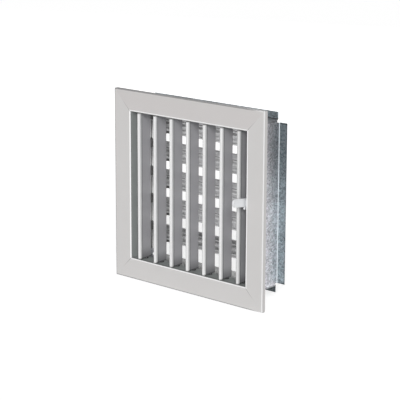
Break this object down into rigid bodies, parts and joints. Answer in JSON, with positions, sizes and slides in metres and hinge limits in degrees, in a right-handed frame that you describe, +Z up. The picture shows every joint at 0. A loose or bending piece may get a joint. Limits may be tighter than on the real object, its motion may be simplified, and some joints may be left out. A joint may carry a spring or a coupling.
{
  "type": "air outlet grille",
  "caption": "Square wall grille: mitred aluminium frame, upright turning blades, and a galvanised casing with a rear flange and a lever-worked parallel damper.",
  "frame": {"origin": "centre of the opening on the wall plane, where the back of the face frame's lip seats", "axes": "+Y into the wall along the air path, +Z up along the upright blades, +X to the right seen from the front"},
  "size_m": [0.256, 0.092, 0.256],
  "materials": {
    "face_aluminium": "satin powder coat, warm light grey",
    "blade_aluminium": "satin powder coat, light grey",
    "galvanised_steel": "hot-dip galvanised with fine spangle",
    "pin_steel": "drawn bright",
    "bush_plastic": "moulded, matt",
    "lever_plastic": "moulded, semi-gloss white"
  },
  "bodies": {
    "housing": {"frame_bottom": "face_aluminium", "frame_right": "face_aluminium", "frame_top": "face_aluminium", "frame_left": "face_aluminium", "casing_bottom": "galvanised_steel", "casing_right": "galvanised_steel", "casing_top": "galvanised_steel", "casing_left": "galvanised_steel", "damper_rail_bottom": "galvanised_steel", "damper_rail_right": "galvanised_steel", "damper_rail_top": "galvanised_steel", "damper_rail_left": "galvanised_steel", "corner_keys": "galvanised_steel", "blade_bushes_top": "bush_plastic", "blade_bushes_bottom": "bush_plastic", "damper_bushes_left": "bush_plastic", "damper_bushes_right": "bush_plastic"},
    "blade_1": {"front_blade_1": "blade_aluminium", "blade_pins_1": "pin_steel"},
    "blade_2": {"front_blade_2": "blade_aluminium", "blade_pins_2": "pin_steel"},
    "blade_3": {"front_blade_3": "blade_aluminium", "blade_pins_3": "pin_steel"},
    "blade_4": {"front_blade_4": "blade_aluminium", "blade_pins_4": "pin_steel"},
    "blade_5": {"front_blade_5": "blade_aluminium", "blade_pins_5": "pin_steel"},
    "blade_6": {"front_blade_6": "blade_aluminium", "blade_pins_6": "pin_steel"},
    "blade_7": {"front_blade_7": "blade_aluminium", "blade_pins_7": "pin_steel"},
    "damper_1": {"damper_blade_1": "galvanised_steel", "damper_shaft_1": "pin_steel", "damper_crank_1": "bush_plastic"},
    "damper_2": {"damper_blade_2": "galvanised_steel", "damper_shaft_2": "pin_steel", "damper_crank_2": "bush_plastic"},
    "damper_3": {"damper_blade_3": "galvanised_steel", "damper_shaft_3": "pin_steel", "damper_crank_3": "bush_plastic", "damper_lever": "lever_plastic"},
    "damper_4": {"damper_blade_4": "galvanised_steel", "damper_shaft_4": "pin_steel", "damper_crank_4": "bush_plastic"},
    "damper_5": {"damper_blade_5": "galvanised_steel", "damper_shaft_5": "pin_steel", "damper_crank_5": "bush_plastic"},
    "link": {"link_bar": "galvanised_steel"}
  },
  "joints": [
    {"name": "blade_1_turn", "type": "hinge", "parent": "housing", "child": "blade_1", "pos_m": [-0.08571, 0.0085, 0], "axis": [0, 0, 1], "range_deg": [-30, 30]},
    {"name": "blade_2_turn", "type": "hinge", "parent": "housing", "child": "blade_2", "pos_m": [-0.05714, 0.0085, 0], "axis": [0, 0, 1], "range_deg": [-30, 30]},
    {"name": "blade_3_turn", "type": "hinge", "parent": "housing", "child": "blade_3", "pos_m": [-0.02857, 0.0085, 0], "axis": [0, 0, 1], "range_deg": [-30, 30]},
    {"name": "blade_4_turn", "type": "hinge", "parent": "housing", "child": "blade_4", "pos_m": [0, 0.0085, 0], "axis": [0, 0, 1], "range_deg": [-30, 30]},
    {"name": "blade_5_turn", "type": "hinge", "parent": "housing", "child": "blade_5", "pos_m": [0.02857, 0.0085, 0], "axis": [0, 0, 1], "range_deg": [-30, 30]},
    {"name": "blade_6_turn", "type": "hinge", "parent": "housing", "child": "blade_6", "pos_m": [0.05714, 0.0085, 0], "axis": [0, 0, 1], "range_deg": [-30, 30]},
    {"name": "blade_7_turn", "type": "hinge", "parent": "housing", "child": "blade_7", "pos_m": [0.08571, 0.0085, 0], "axis": [0, 0, 1], "range_deg": [-30, 30]},
    {"name": "damper_1_turn", "type": "hinge", "parent": "housing", "child": "damper_1", "pos_m": [0, 0.0496, 0.0785], "axis": [1, 0, 0], "range_deg": [-36.5, 48.5]},
    {"name": "damper_2_turn", "type": "hinge", "parent": "housing", "child": "damper_2", "pos_m": [0, 0.0496, 0.0405], "axis": [1, 0, 0], "range_deg": [-36.5, 48.5]},
    {"name": "damper_3_turn", "type": "hinge", "parent": "housing", "child": "damper_3", "pos_m": [0, 0.0496, 0.0025], "axis": [1, 0, 0], "range_deg": [-36.5, 48.5]},
    {"name": "damper_4_turn", "type": "hinge", "parent": "housing", "child": "damper_4", "pos_m": [0, 0.0496, -0.0355], "axis": [1, 0, 0], "range_deg": [-36.5, 48.5]},
    {"name": "damper_5_turn", "type": "hinge", "parent": "housing", "child": "damper_5", "pos_m": [0, 0.0496, -0.0735], "axis": [1, 0, 0], "range_deg": [-36.5, 48.5]},
    {"name": "link_swing", "type": "hinge", "parent": "damper_3", "child": "link", "pos_m": [0, 0.03214, 0.01242], "axis": [1, 0, 0], "range_deg": [-48.5, 36.5]}
  ],
  "couplings": [
    {"joint": "damper_1_turn", "follows": "damper_3_turn", "ratio": 1},
    {"joint": "damper_2_turn", "follows": "damper_3_turn", "ratio": 1},
    {"joint": "damper_4_turn", "follows": "damper_3_turn", "ratio": 1},
    {"joint": "damper_5_turn", "follows": "damper_3_turn", "ratio": 1},
    {"joint": "link_swing", "follows": "damper_3_turn", "ratio": -1}
  ]
}
